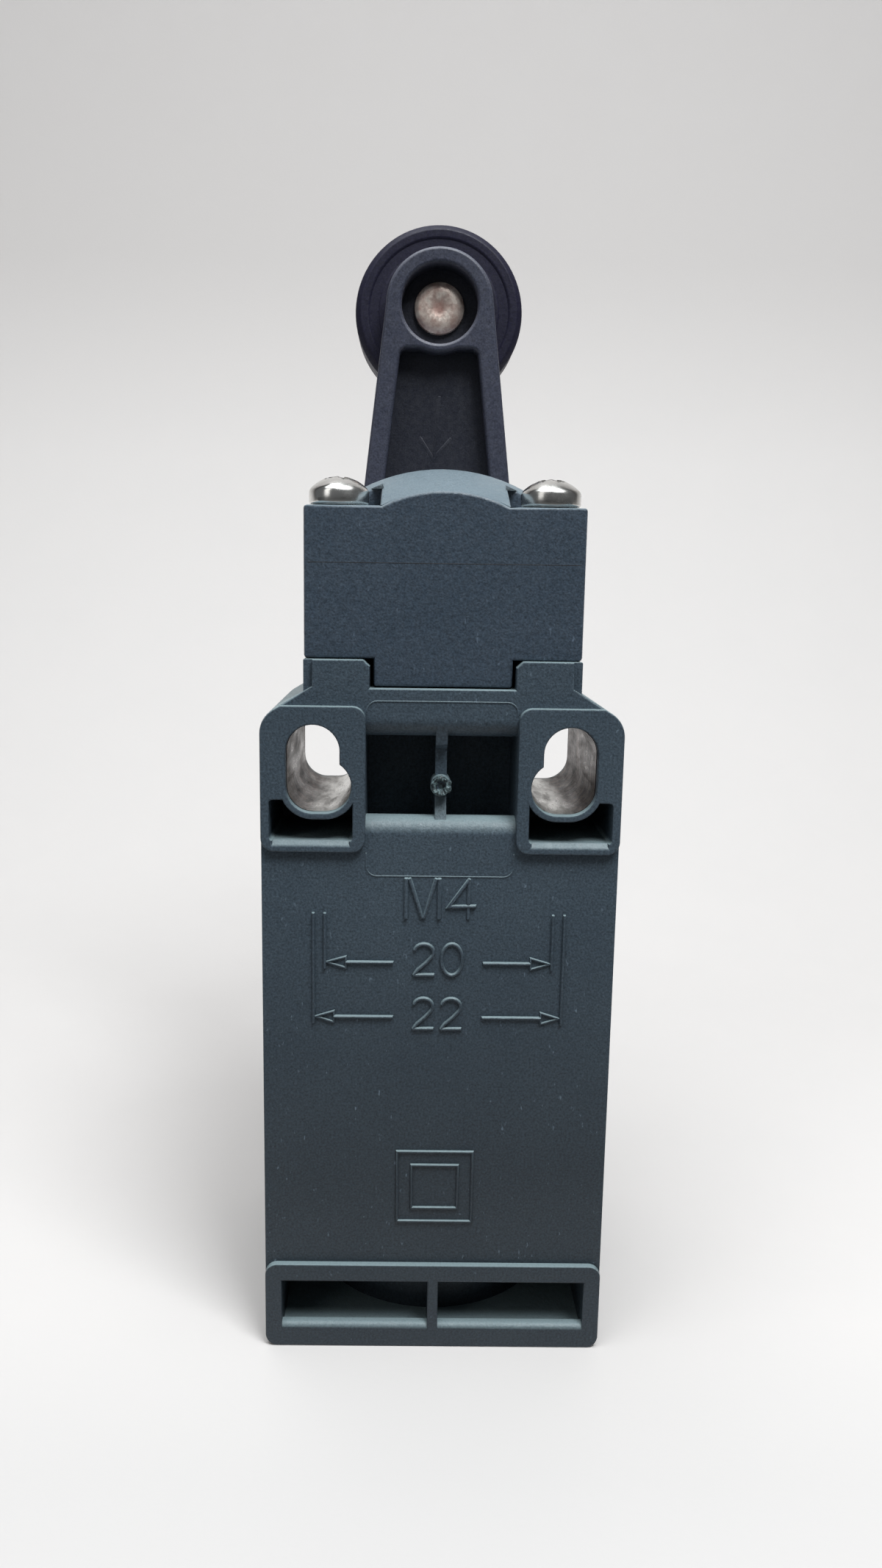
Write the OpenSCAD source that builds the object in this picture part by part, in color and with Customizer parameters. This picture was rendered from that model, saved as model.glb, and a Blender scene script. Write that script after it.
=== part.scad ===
// Roller-lever limit switch: moulded body with two fixing holes, rotary head,
// lever with a roller, and a double-break contact unit inside.
// X runs across the body, Y from the fixing face towards the lever, Z up.
// The origin is the centre of the pair of fixing holes, on the fixing face.

/* [Body] */
// Width of the body
body_w = 31; // [30.6:0.1:32]
// Depth from the fixing face to the front of the cover
body_d = 31; // [31:0.1:33]
// Height from the bottom to the centre of the fixing holes
hole_z = 53.1; // [53:0.1:53.6]
// How far the raised pads stand proud of the back
pad_h = 0.6; // [0.4:0.1:0.8]
// Wall between the wiring chamber and the back
back_wall = 2.6; // [2.2:0.1:3]

/* [Fixing holes] */
// Distance between the outer hole centres
pitch_outer = 22; // [21.8:0.1:22.4]
// Distance between the inner hole centres
pitch_inner = 20; // [19.8:0.1:20.4]
// Radius of the holes
hole_r = 2.25; // [2.15:0.05:2.3]
// Height of the upright slot between its end centres
slot_h = 3.0; // [2.6:0.1:3.2]
// Thickness of the ears that the fixing holes pass through
ear_d = 19; // [18.5:0.5:20]

/* [Cable entry] */
// Radius of the bore at the bottom, at the crest of its M20 thread
entry_r = 9.25; // [9.1:0.05:9.3]
// Length of the threaded bore
entry_l = 10; // [9.5:0.5:10.5]

/* [Head] */
// Width and depth of the square head
head_w = 23.6; // [23.4:0.1:23.8]
// Height of the screw seats above the bottom of the body
seat_z = 76.6; // [76.4:0.1:77]
// Height of the top of the dome above the bottom of the body
dome_z = 80.5; // [80.2:0.1:80.8]
// Distance of the head screws from the middle of the head
screw_off = 9; // [8.9:0.05:9.1]

/* [Lever and roller] */
// Distance from the shaft to the middle of the roller
lever_l = 30; // [28:0.5:34]
// Radius of the lever round the shaft
lever_hub_r = 9.3; // [9:0.1:9.6]
// Radius of the lever round the roller pin
lever_end_r = 5.85; // [5.5:0.05:6]
// Diameter of the roller
roller_d = 18.8; // [18:0.2:22]
// Width of the roller
roller_w = 7; // [6:0.5:8]
// Radius of the pin that the roller turns on
pin_r = 2; // [1.8:0.1:2.1]

/* [Shaft] */
// Radius of the shaft in its bearing
shaft_r = 4; // [3.8:0.1:4.2]
// Radial running clearance of the shaft and the roller
run_gap = 0.05; // [0.03:0.01:0.08]

/* [Contacts] */
// Travel of the plunger and the contact bridge
travel = 2.4; // [2.2:0.1:2.5]

/* [Hidden] */
hw = body_w / 2;
face_y = pad_h;                 // main back face, below the pads
rim_y = body_d - 4.2;           // front rim of the shell, under the cover seal
ear_front = ear_d;
chamber_top = 45.4;
split_z = 46.8;                 // top edge of the cover opening
neck_z = 61.5;                  // floor of the neck, under the head
post_z = 63.9;                  // tops of the four corner posts
foot_z = 61.6;                  // underside of the foot of the head
head_y = 13;                    // middle of the head, from the fixing face
hh = head_w / 2;
shaft_z = 70.1;
lever_y = 35.5;                 // back of the lever
lever_t = 4.2;
entry_y = 15.5;
xo = pitch_outer / 2;
xi = pitch_inner / 2;
roller_y = lever_y + 4.5;
roller_z = shaft_z + lever_l;

// moves heights measured from the bottom of the body to the frame of the holes
module place() translate([0, 0, -hole_z]) children();

// extrudes an outline drawn in X and Z from y0 to y1
module along_y(y0, y1)
    translate([0, y1, 0]) rotate([90, 0, 0]) linear_extrude(y1 - y0) children();

// round bar along Y
module ycyl(r, y0, y1, x = 0, z = 0, fn = 96)
    translate([x, y0, z]) rotate([-90, 0, 0]) cylinder(r = r, h = y1 - y0, $fn = fn);

// round bar along Z
module zcyl(r, z0, z1, x = 0, y = 0, fn = 96)
    translate([x, y, z0]) cylinder(r = r, h = z1 - z0, $fn = fn);

// box from corner to corner
module box(a, b) translate(a) cube([b[0] - a[0], b[1] - a[1], b[2] - a[2]]);

// outline of a rectangle with one radius on all corners
module rrect(x0, z0, x1, z1, r) {
    translate([x0 + r, z0]) square([x1 - x0 - 2 * r, z1 - z0]);
    translate([x0, z0 + r]) square([x1 - x0, z1 - z0 - 2 * r]);
    for (x = [x0 + r, x1 - r], z = [z0 + r, z1 - r])
        translate([x, z]) circle(r, $fn = 48);
}

// points of an arc, in degrees
function arc(cx, cz, r, a0, a1, n) =
    [for (i = [0:n]) let (a = a0 + (a1 - a0) * i / n) [cx + r * cos(a), cz + r * sin(a)]];

// a tube swept along a list of points, closed at both ends; for springs
function unit(v) = v / norm(v);
function ring(p, t, r, m) =
    let (u = unit(cross(t, [0, 0, 1])), v = cross(u, t))
    [for (k = [0:m - 1]) p + r * (cos(360 * k / m) * u + sin(360 * k / m) * v)];
module sweep(path, r, m) {
    n = len(path);
    pts = [for (i = [0:n - 1])
        let (t = unit(path[min(i + 1, n - 1)] - path[max(i - 1, 0)]))
        each ring(path[i], t, r, m)];
    sides = [for (i = [0:n - 2], k = [0:m - 1])
        [i * m + k, i * m + (k + 1) % m, (i + 1) * m + (k + 1) % m, (i + 1) * m + k]];
    ends = [[for (k = [m - 1:-1:0]) k], [for (k = [0:m - 1]) (n - 1) * m + k]];
    polyhedron(points = pts, faces = concat(sides, ends), convexity = 8);
}

// closed-end compression spring standing along Z
function coil(cx, cy, z0, z1, rm, turns, per, wire) =
    [for (i = [0:round(turns * per)])
        let (t = i / per, a = 360 * t,
            f = t < 1 ? t * wire * 2.1 :
                t > turns - 1 ? (z1 - z0 - 2 * wire) - (turns - t) * wire * 2.1 :
                wire * 2.1 + (t - 1) / (turns - 2) * (z1 - z0 - 2 * wire - wire * 4.2))
        [cx + rm * cos(a), cy + rm * sin(a), z0 + wire + f]];

// ---------------------------------------------------------------- body shell

// outline of the upper body, with its sloping shoulders
module shoulder_outline() {
    r = 2.4;
    cx = hw - r;
    cz = 60 - r;
    polygon(concat([[hw, 50]],
        arc(cx, cz, r, 0, 59, 8),
        [[11.1, 61.6], [11.1, neck_z], [-11.1, neck_z], [-11.1, 61.6]],
        arc(-cx, cz, r, 121, 180, 8), [[-hw, 50]]));
}

// keyhole outline of a fixing hole: an upright slot with a second round hole beside its lower end
module keyhole(s, g) {
    r = hole_r + g;
    translate([s * xo, hole_z]) circle(r, $fn = 64);
    translate([s * xo, hole_z + slot_h]) circle(r, $fn = 64);
    translate([s * xo - r, hole_z]) square([2 * r, slot_h]);
    translate([s * xi, hole_z]) circle(r, $fn = 64);
    translate([min(s * xi, s * xo), hole_z - r]) square([xo - xi, r]);
}

// pocket under a fixing hole, following the ring round it
module under_pocket(s) {
    difference() {
        hull_box = s > 0 ? [7.6, 14.75] : [-14.75, -7.6];
        rrect(hull_box[0], 48.35, hull_box[1], 51.9, 0.35);
        keyhole(s, 0.62);
    }
}

module housing() color([0.17, 0.21, 0.25]) place() difference() {
    union() {
        // back half, as deep as the ears
        along_y(face_y, ear_front) difference() {
            rrect(-hw, 0, hw, 55, 1.1);
            translate([-20, 52]) square([40, 5]);
        }
        along_y(face_y, ear_front) shoulder_outline();
        // wiring chamber, as deep as the cover's seat
        along_y(ear_front - 1, rim_y) rrect(-hw, 0, hw, split_z, 1.1);
        // middle column in front, between the ears
        box([-6.4, ear_front - 1, split_z], [6.4, body_d, 60.4]);
        box([-6.4, ear_front - 1, chamber_top], [6.4, rim_y, 60.4]);
        // bridge of material over the cover
        box([-6.4, ear_front - 1, 59], [6.4, head_y + hh + 0.1, neck_z]);
        // neck under the head
        box([-11.85, 1.15, 58.9], [11.85, head_y + hh + 0.1, neck_z]);
        // corner posts that key the head
        for (s = [-1, 1], y = [-11.85, 6.2])
            along_y(max(head_y + y, 1.15), head_y + y + 5.65) polygon([[s * 11.85, 60],
                [s * 11.85, post_z], [s * 6.75, post_z], [s * 6.2, post_z - 0.55], [s * 6.2, 60]]);
        // back skin of the two rear posts
        for (s = [-1, 1]) along_y(face_y, 2) polygon(
            [[s * 11.1, 59], [s * 11.1, post_z], [s * 6.75, post_z], [s * 6.2, post_z - 0.55], [s * 6.2, 59]]);
        // raised pads: the two ears and the bar at the bottom
        for (s = [-1, 1]) along_y(0, face_y + 0.5) intersection() {
            rrect(s > 0 ? 6.5 : -hw, 47.35, s > 0 ? hw : -6.5, 60, 1.15);
            shoulder_outline_full();
        }
        along_y(0, face_y + 0.5) rrect(-hw, 0, hw, 8.3, 1.1);
    }
    // fixing holes: the metal linings sit between two thin lips
    for (s = [-1, 1]) {
        along_y(-1, ear_front + 1) keyhole(s, 0.05);
        along_y(0.8, ear_front - 0.8) keyhole(s, 0.5);
        along_y(-1, 11) under_pocket(s);
    }
    // sloped lower edges of the pockets under the holes
    for (s = [-1, 1])
        translate([s * 11.175, 0, 48.35]) rotate([45, 0, 0]) cube([6.6, 0.62, 0.62], center = true);
    // pocket between the ears, with a rounded lip above and below
    difference() {
        translate([-6.5, 0, 0]) rotate([90, 0, 90]) linear_extrude(13)
            polygon(concat([[-1, 48.8]],
                [for (i = [0:8]) [face_y + 1.55 - 1.55 * cos(90 * i / 8), 48.8 + 1.55 * sin(90 * i / 8)]],
                [[face_y + 2.0, 50.3], [face_y + 2.4, 49.9], [face_y + 2.5, 48.9], [8, 48.9], [8, 57.35]],
                [for (i = [0:8]) [face_y + 1.6 - 1.6 * sin(90 * i / 8), 57.35 + 1.6 * (1 - cos(90 * i / 8))]],
                [[-1, 58.95]]));
        // rib down the middle of the pocket, wider at its ends and dipping towards the gate mark
        intersection() {
            translate([-0.9, 0, 0]) rotate([90, 0, 90]) linear_extrude(1.8)
                polygon([[face_y + 0.05, 60], [face_y + 0.1, 58.8], [face_y + 0.5, 56.7], [face_y + 1.5, 56.2],
                    [face_y + 1.5, 51.9], [face_y + 0.35, 49.3], [face_y + 0.05, 48.6], [face_y, 47], [9, 47], [9, 60]]);
            along_y(0, 9) polygon([[-0.75, 60], [-0.75, 58.7], [-0.5, 58.2], [-0.5, 49.8], [-0.75, 49.3],
                [-0.75, 47], [0.75, 47], [0.75, 49.3], [0.5, 49.8], [0.5, 58.2], [0.75, 58.7], [0.75, 60]]);
        }
        // remains of the moulding gate
        difference() {
            ycyl(0.88, face_y + 0.7, face_y + 3, 0, hole_z, 32);
            ycyl(0.28, -1, face_y + 1.6, 0.05, hole_z - 0.05, 16);
        }
    }
    // two windows in the bottom bar, round the back of the cable entry
    difference() {
        for (s = [-1, 1]) translate([s > 0 ? 0.48 : -13.98, 0, 0]) rotate([90, 0, 90]) linear_extrude(13.5)
            polygon(concat([[-1, 1.75], [0, 1.75]],
                [for (i = [1:6]) [0.6 - 0.6 * cos(90 * i / 6), 1.75 + 0.6 * sin(90 * i / 6)]],
                [[0.9, 2.35], [1.1, 2.15], [1.15, 1.4], [12, 1.4], [12, 6.6], [-1, 6.6]]));
        zcyl(11.6, 0, 8, 0, entry_y);
    }
    // wiring chamber, round the lug that takes the cover screw
    difference() {
        box([-12.9, face_y + back_wall, entry_l], [12.9, rim_y + 1, chamber_top]);
        box([-3.2, 19.3, 39.2], [3.2, rim_y, chamber_top + 1]);
    }
    // thread hole of the cover screw
    ycyl(1.6, rim_y - 7, rim_y + 1, 0, 42.4, 48);
    // cable entry
    zcyl(entry_r, -1, entry_l + 1, 0, entry_y);
    // spring well and guide of the follower, with room for its disc
    zcyl(4.2, 51, neck_z + 1, 0, head_y);
    zcyl(6.0, 62.2 - travel - 0.2, neck_z + 1, 0, head_y);
    zcyl(2.0 + run_gap, chamber_top - 1, 52, 0, head_y, 64);
    // groove of the head seal
    difference() {
        zcyl(8.6, 60.9, neck_z + 1, 0, head_y);
        zcyl(7.1, 60, neck_z + 2, 0, head_y);
    }
    // thread holes of the head screws
    for (x = [-1, 1], y = [-1, 1])
        zcyl(1.2, 59.8, post_z + 1, x * screw_off, head_y + y * screw_off, 32);
}

module shoulder_outline_full() {
    shoulder_outline();
    translate([-hw, 40]) square([body_w, 12]);
}

module fixing_bush(s) color([0.45, 0.41, 0.38]) place()
    along_y(0.8, ear_front - 0.8) difference() {
        keyhole(s, 0.5);
        keyhole(s, 0);
    }
module fixing_bush_left() fixing_bush(-1);
module fixing_bush_right() fixing_bush(1);

// ---------------------------------------------------------------- front cover

module cover_screw() color([0.75, 0.76, 0.78]) place() {
    difference() {
        union() {
            ycyl(2.6, body_d - 1.8, body_d - 0.2, 0, 42.4, 48);
            ycyl(1.6, rim_y - 6.5, body_d - 1.8, 0, 42.4, 48);
        }
        box([-2.2, body_d - 1.0, 42.4 - 0.35], [2.2, body_d + 1, 42.4 + 0.35]);
        box([-0.35, body_d - 1.0, 42.4 - 2.2], [0.35, body_d + 1, 42.4 + 2.2]);
    }
}

module front_cover() color([0.15, 0.19, 0.23]) place() difference() {
    union() {
        along_y(rim_y + 0.6, body_d - 0.8) rrect(-hw, 0.2, hw, split_z - 0.3, 1.1);
        along_y(body_d - 0.8, body_d) rrect(-hw + 0.6, 0.8, hw - 0.6, split_z - 0.9, 1.1);
        // key that centres the cover in the chamber
        along_y(rim_y - 1.2, rim_y + 1) rrect(-12.6, 10.4, 12.6, 38.6, 0.8);
    }
    // hollow inside
    along_y(rim_y - 2, body_d - 1.6) rrect(-11.4, 11.6, 11.4, 37.4, 0.6);
    // shallow blank label field
    along_y(body_d - 0.3, body_d + 1) rrect(-11.5, 9, 11.5, 36, 0.8);
    // seat and hole of the screw
    ycyl(2.8, body_d - 1.8, body_d + 1, 0, 42.4, 48);
    ycyl(1.7, rim_y, body_d, 0, 42.4, 48);
}

module cover_gasket() color([0.1, 0.1, 0.11]) place() along_y(rim_y, rim_y + 0.6) difference() {
    rrect(-hw + 0.5, 0.7, hw - 0.5, split_z - 0.8, 1.1);
    rrect(-12.75, 10.2, 12.75, 38.8, 0.6);
    translate([0, 42.4]) circle(2.2, $fn = 48);
}

// ---------------------------------------------------------------- rotary head

// cross section of the domed top at one depth
module dome_slice(y) {
    t = abs(y - head_y) / hh;
    a = dome_z - 2.7 * t * t;
    r = 17 - 5 * t;
    xe = hh - 0.02;
    n = 22;
    translate([0, y + 0.02, 0]) rotate([90, 0, 0]) linear_extrude(0.04)
        polygon(concat([[xe, 66], [-xe, 66]],
            [for (i = [0:n]) let (x = -xe + 2 * xe * i / n) [x, a - r + sqrt(max(r * r - x * x, 0.001))]]));
}

module head_housing() color([0.17, 0.21, 0.25]) place() difference() {
    union() {
        box([-hh, head_y - hh, post_z + 0.05], [hh, head_y + hh, seat_z]);
        // domed top
        hull() for (i = [0:12]) dome_slice(head_y - hh + 0.02 + (2 * hh - 0.04) * i / 12);
        // keyed foot: a cross that drops between the corner posts
        box([-5.9, head_y - hh, foot_z], [5.9, head_y + hh, post_z + 1]);
        box([-hh, head_y - 5.9, foot_z], [hh, head_y + 5.9, post_z + 1]);
        // bearing boss round the shaft
        ycyl(8.4, head_y + hh - 1, lever_y - 0.9, 0, shaft_z);
    }
    // screw pockets on the top corners
    for (s = [-1, 1]) {
        box([s > 0 ? 5.45 : -hh - 1, head_y - hh - 1, seat_z], [s > 0 ? hh + 1 : -5.45, head_y - 6.2, dome_z + 1]);
        box([s > 0 ? 5.45 : -hh - 1, head_y + 6.2, seat_z], [s > 0 ? hh + 1 : -5.45, head_y + hh + 0.01, dome_z + 1]);
    }
    // screw holes
    for (x = [-1, 1], y = [-1, 1])
        zcyl(1.65, 60, dome_z, x * screw_off, head_y + y * screw_off, 48);
    // cam space, bearing bore and the blind hole at the back
    ycyl(6.6, head_y - 4.6, lever_y, 0, shaft_z);
    ycyl(2.5 + run_gap, head_y - 9.4, head_y, 0, shaft_z, 64);
    // follower space below the cam
    zcyl(7.0, 60, shaft_z, 0, head_y);
}

module head_gasket() color([0.1, 0.1, 0.11]) place() difference() {
    zcyl(8.55, 60.9, foot_z, 0, head_y);
    zcyl(7.15, 60, 62, 0, head_y);
}

// pan head screw with a cross recess, head up
module pan_screw(z, len) {
    difference() {
        union() {
            zcyl(2.35, z, z + 0.2, 0, 0, 48);
            zcyl(2.55, z + 0.15, z + 1.3, 0, 0, 48);
            intersection() {
                translate([0, 0, z - 0.9]) sphere(3.4, $fn = 64);
                zcyl(2.55, z + 1.2, z + 2.5, 0, 0, 48);
            }
            zcyl(1.2, z - len, z + 0.1, 0, 0, 32);
        }
        rotate([0, 0, 35]) {
            translate([-1.2, -0.25, z + 1.0]) cube([2.4, 0.5, 3]);
            translate([-0.25, -1.2, z + 1.0]) cube([0.5, 2.4, 3]);
        }
    }
}

module head_screws() color([0.78, 0.78, 0.76]) place()
    for (x = [-1, 1], y = [-1, 1])
        translate([x * screw_off, head_y + y * screw_off, 0]) pan_screw(seat_z, 16);

module shaft() color([0.62, 0.63, 0.65]) place() difference() {
    union() {
        ycyl(2.5, head_y - 9.2, head_y - 3, 0, shaft_z, 64);
        // cam: a round hub with one flat that centres the lever
        difference() {
            ycyl(6.0, head_y - 4, head_y + 4, 0, shaft_z);
            box([-7, head_y - 5, shaft_z - 7], [7, head_y + 5, shaft_z - 3]);
        }
        ycyl(shaft_r, head_y + 3, lever_y - 0.3, 0, shaft_z);
        ycyl(3.0, lever_y - 1, lever_y + 5.6, 0, shaft_z, 64);
    }
    ycyl(1.9, lever_y - 2, lever_y + 6, 0, shaft_z, 48);
}

module shaft_bush() color([0.72, 0.58, 0.36]) place() difference() {
    ycyl(6.58, head_y + 7.2, lever_y - 3.4, 0, shaft_z);
    ycyl(shaft_r + run_gap, head_y, lever_y, 0, shaft_z);
}

module shaft_seal() color([0.09, 0.09, 0.1]) place() difference() {
    ycyl(6.6, lever_y - 3.3, lever_y - 1.2, 0, shaft_z);
    ycyl(shaft_r + run_gap, head_y, lever_y, 0, shaft_z);
}

module follower() color([0.85, 0.84, 0.8]) place() {
    difference() {
        zcyl(5.7, 62.3, 63.8, 0, head_y);
        difference() {
            zcyl(4.8, 62, 62.8, 0, head_y);
            zcyl(2.6, 61, 63, 0, head_y, 64);
        }
    }
    zcyl(2.4, 54.5, 62.5, 0, head_y, 64);
    zcyl(2.0, chamber_top + 0.1, 54.6, 0, head_y, 64);
}

module return_spring() color([0.7, 0.7, 0.72]) place()
    sweep(coil(0, head_y, 51.05, 62.7, 3.5, 6, 18, 0.4), 0.4, 8);

// ---------------------------------------------------------------- lever

module lever_outline(g) {
    // sides between the two round ends, a hair inside their tangents so they cross the circles cleanly
    sn = (lever_hub_r - lever_end_r) / lever_l;
    cs = sqrt(1 - sn * sn);
    r0 = lever_hub_r - g;
    r1 = lever_end_r - g;
    translate([0, shaft_z]) circle(r0, $fn = 96);
    translate([0, roller_z]) circle(r1, $fn = 96);
    q0 = r0 - 0.01;
    q1 = r1 - 0.01;
    polygon([[q0 * cs, shaft_z + q0 * sn], [q1 * cs, roller_z + q1 * sn],
        [-q1 * cs, roller_z + q1 * sn], [-q0 * cs, shaft_z + q0 * sn]]);
}

// hollow of the arm: its sides run with the sides of the lever, r is the corner radius
module hollow_outline(r) {
    sn = (lever_hub_r - lever_end_r) / lever_l;
    t = asin(sn);
    zt = lever_l - 4.7 - r;
    zb = 9.4 + r;
    xt = (lever_hub_r - 2.2 - r - zt * sn) / cos(t);
    xb = (lever_hub_r - 2.2 - r - zb * sn) / cos(t);
    translate([0, shaft_z]) polygon(concat(
        arc(xt, zt, r, t, 90, 6), arc(-xt, zt, r, 90, 180 - t, 6),
        arc(-xb, zb, r, 180 - t, 270, 6), arc(xb, zb, r, -90, t, 6)));
}

module lever_arm() color([0.14, 0.15, 0.2]) place() difference() {
    union() {
        along_y(lever_y, lever_y + lever_t) lever_outline(0);
        ycyl(lever_hub_r - 0.6, lever_y, lever_y + 6.4, 0, shaft_z);
    }
    // hollow in the back of the arm, with a straight top and rounded corners
    along_y(lever_y - 1, lever_y + 2.2) difference() {
        hollow_outline(0.8);
        translate([0, roller_z]) circle(5.1, $fn = 64);
    }
    // hollow round the riveted end of the roller pin
    ycyl(4.15, lever_y - 1, lever_y + 3.0, 0, roller_z, 64);
    ycyl(pin_r, lever_y, lever_y + 8, 0, roller_z, 64);
    // bore on the shaft
    ycyl(3.0, lever_y - 1, lever_y + 9, 0, shaft_z, 64);
}

module lever_washer() color([0.75, 0.76, 0.78]) place() difference() {
    ycyl(5.2, lever_y + 6.4, lever_y + 7.3, 0, shaft_z, 64);
    ycyl(2.1, lever_y, lever_y + 9, 0, shaft_z, 48);
}

module lever_screw() color([0.75, 0.76, 0.78]) place() difference() {
    union() {
        ycyl(1.9, lever_y - 1.5, lever_y + 7.4, 0, shaft_z, 48);
        // hexagon head
        translate([0, lever_y + 7.3, shaft_z]) rotate([-90, 0, 0]) cylinder(r = 4.0, h = 2.9, $fn = 6);
    }
    box([-3.0, lever_y + 9.2, shaft_z - 0.5], [3.0, lever_y + 11, shaft_z + 0.5]);
}

module roller() color([0.1, 0.1, 0.12]) place() translate([0, roller_y, roller_z]) rotate([-90, 0, 0])
    rotate_extrude($fn = 128) polygon([
        [3.1, 0.25], [6.6, 0.25], [6.8, 0.4], [7.8, 0.4], [8.0, 0.25], [roller_d / 2 - 0.6, 0.25],
        [roller_d / 2, 0.85], [roller_d / 2, roller_w - 0.85], [roller_d / 2 - 0.6, roller_w - 0.25],
        [8.0, roller_w - 0.25], [7.8, roller_w - 0.4], [6.8, roller_w - 0.4], [6.6, roller_w - 0.1], [3.1, roller_w - 0.1]]);

module roller_bush() color([0.72, 0.66, 0.52]) place() difference() {
    ycyl(3.1, roller_y, roller_y + roller_w, 0, roller_z, 64);
    ycyl(pin_r + run_gap, roller_y - 1, roller_y + roller_w + 1, 0, roller_z, 64);
}

module roller_pin() color([0.66, 0.6, 0.54]) place() {
    ycyl(pin_r, lever_y + 2.9, roller_y + roller_w + 0.4, 0, roller_z, 64);
    // riveted end with a dished middle
    translate([0, lever_y + 3.0, roller_z]) rotate([90, 0, 0]) rotate_extrude($fn = 64)
        polygon([[0, 0], [2.65, 0], [2.8, 0.15], [2.72, 0.45], [2.3, 0.75], [1.5, 0.92], [0.8, 0.8], [0, 0.68]]);
    ycyl(3.6, roller_y + roller_w + 0.2, roller_y + roller_w + 1.3, 0, roller_z, 64);
}

// ---------------------------------------------------------------- contact unit

cb_x = 11.6;     // half width of the contact unit
cb_y0 = 4.0;     // back of the contact unit
cb_y1 = 18.0;    // plane of the terminals
rows = [39.6, 21.4];
bridge_z = 31.4;                       // underside of the moving contacts
low_z = bridge_z - travel - 2.1;       // underside of the lower strips

module contact_block() color([0.88, 0.87, 0.83]) place() difference() {
    box([-cb_x, cb_y0, 16.5], [cb_x, 15.4, 44.6]);
    // room for the bridge, the contacts and the terminal strips
    box([-9.5, 9.4, low_z - 0.1], [9.5, 16, 36.1]);
    // guides of the plunger, and its spring well
    box([-2.9, 10.3, 22], [2.9, 15.7, 37]);
    zcyl(2.3, 36, 46, 0, head_y, 64);
    zcyl(3.2, 18, 26, 0, head_y, 64);
}

module contact_lid() color([0.8, 0.79, 0.75]) place() difference() {
    union() {
        box([-cb_x, 15.5, 16.5], [cb_x, cb_y1 - 0.1, 44.6]);
        // walls between the terminals
        box([-1.2, 17, 16.5], [1.2, 22.4, 38.5]);
        for (s = [-1, 1]) box([s > 0 ? 4.2 : -cb_x, 17, 29.6], [s > 0 ? cb_x : -4.2, 22.4, 31.4]);
    }
    // slots for the terminal strips
    for (s = [-1, 1]) {
        box([s > 0 ? 4.7 : -8.6, 15, 34.9], [s > 0 ? 8.6 : -4.7, 19, 36.1]);
        box([s > 0 ? 4.7 : -8.6, 15, low_z - 0.1], [s > 0 ? 8.6 : -4.7, 19, low_z + 1.1]);
    }
    // relief behind the terminal screws and round the plunger and its spring
    for (s = [-1, 1], z = rows) ycyl(1.9, 15, 19, s * 7, z, 48);
    box([-2.9, 15, 22], [2.9, 15.7, 37]);
    zcyl(2.3, 36, 46, 0, head_y, 64);
    zcyl(3.2, 18, 26, 0, head_y, 64);
}

// terminal: a plate on the front, a strip going back and a silver contact on it
module terminal(s, up) {
    z = up ? 35.0 : low_z;     // underside of the strip
    zp = up ? rows[0] : rows[1];
    color([0.78, 0.68, 0.45]) place() {
        difference() {
            union() {
                box([s > 0 ? 3.3 : -10.7, cb_y1, min(z, zp - 3.6)], [s > 0 ? 10.7 : -3.3, cb_y1 + 1, max(z + 1, zp + 3.6)]);
                box([s > 0 ? 4.8 : -8.5, 10.6, z], [s > 0 ? 8.5 : -4.8, cb_y1 + 0.5, z + 1]);
            }
            ycyl(1.6, cb_y1 - 1, cb_y1 + 2, s * 7, zp, 48);
        }
        zcyl(1.3, up ? z - 0.9 : z + 0.5, up ? z + 0.5 : z + 1.9, s * 6.4, head_y, 48);
    }
}
module terminal_upper_left() terminal(-1, true);
module terminal_upper_right() terminal(1, true);
module terminal_lower_left() terminal(-1, false);
module terminal_lower_right() terminal(1, false);

module clamp_washers() color([0.74, 0.75, 0.77]) place()
    for (s = [-1, 1], z = rows) difference() {
        box([s * 7 - 2.9, cb_y1 + 1, z - 2.9], [s * 7 + 2.9, cb_y1 + 2, z + 2.9]);
        ycyl(1.7, cb_y1, cb_y1 + 3, s * 7, z, 48);
    }

module terminal_screws() color([0.74, 0.75, 0.77]) place()
    for (s = [-1, 1], z = rows) translate([s * 7, 0, z]) difference() {
        union() {
            ycyl(1.6, 15.6, cb_y1 + 2.1, 0, 0, 48);
            ycyl(2.7, cb_y1 + 2, cb_y1 + 4, 0, 0, 48);
        }
        box([-2.0, cb_y1 + 3, -0.35], [2.0, cb_y1 + 5, 0.35]);
        box([-0.35, cb_y1 + 3, -2.0], [0.35, cb_y1 + 5, 2.0]);
    }

// plunger: a round head above a frame that carries the bridge
module plunger() color([0.75, 0.2, 0.15]) place() {
    zcyl(2.2, 33.5, 45.4, 0, head_y, 64);
    difference() {
        box([-2.7, 10.5, 25.0], [2.7, 15.5, 34.6]);
        box([-3, 11.5, 26.4], [3, 14.5, 33.2]);
    }
    zcyl(1.8, 24.2, 25.5, 0, head_y, 48);
}

module plunger_spring() color([0.7, 0.7, 0.72]) place()
    sweep(coil(0, head_y, 18.05, 24.95, 2.4, 5, 16, 0.25), 0.25, 8);

// bridge with a silver contact on each side of each end
module bridge() color([0.8, 0.7, 0.5]) place() {
    box([-8, 11.6, bridge_z + 1], [8, 14.4, bridge_z + 1.7]);
    for (s = [-1, 1]) zcyl(1.2, bridge_z, bridge_z + 2.6, s * 6.4, head_y, 48);
}

module contact_spring() color([0.7, 0.7, 0.72]) place()
    sweep(coil(0, head_y, 26.45, 32.35, 1.0, 6, 12, 0.18), 0.18, 6);

// ---------------------------------------------------------------- nodes

housing();
fixing_bush_left();
fixing_bush_right();
front_cover();
cover_gasket();
cover_screw();
head_housing();
head_gasket();
head_screws();
shaft();
shaft_bush();
shaft_seal();
follower();
return_spring();
lever_arm();
lever_washer();
lever_screw();
roller();
roller_bush();
roller_pin();
contact_block();
contact_lid();
plunger();
plunger_spring();
bridge();
contact_spring();
terminal_upper_left();
terminal_upper_right();
terminal_lower_left();
terminal_lower_right();
clamp_washers();
terminal_screws();
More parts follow.
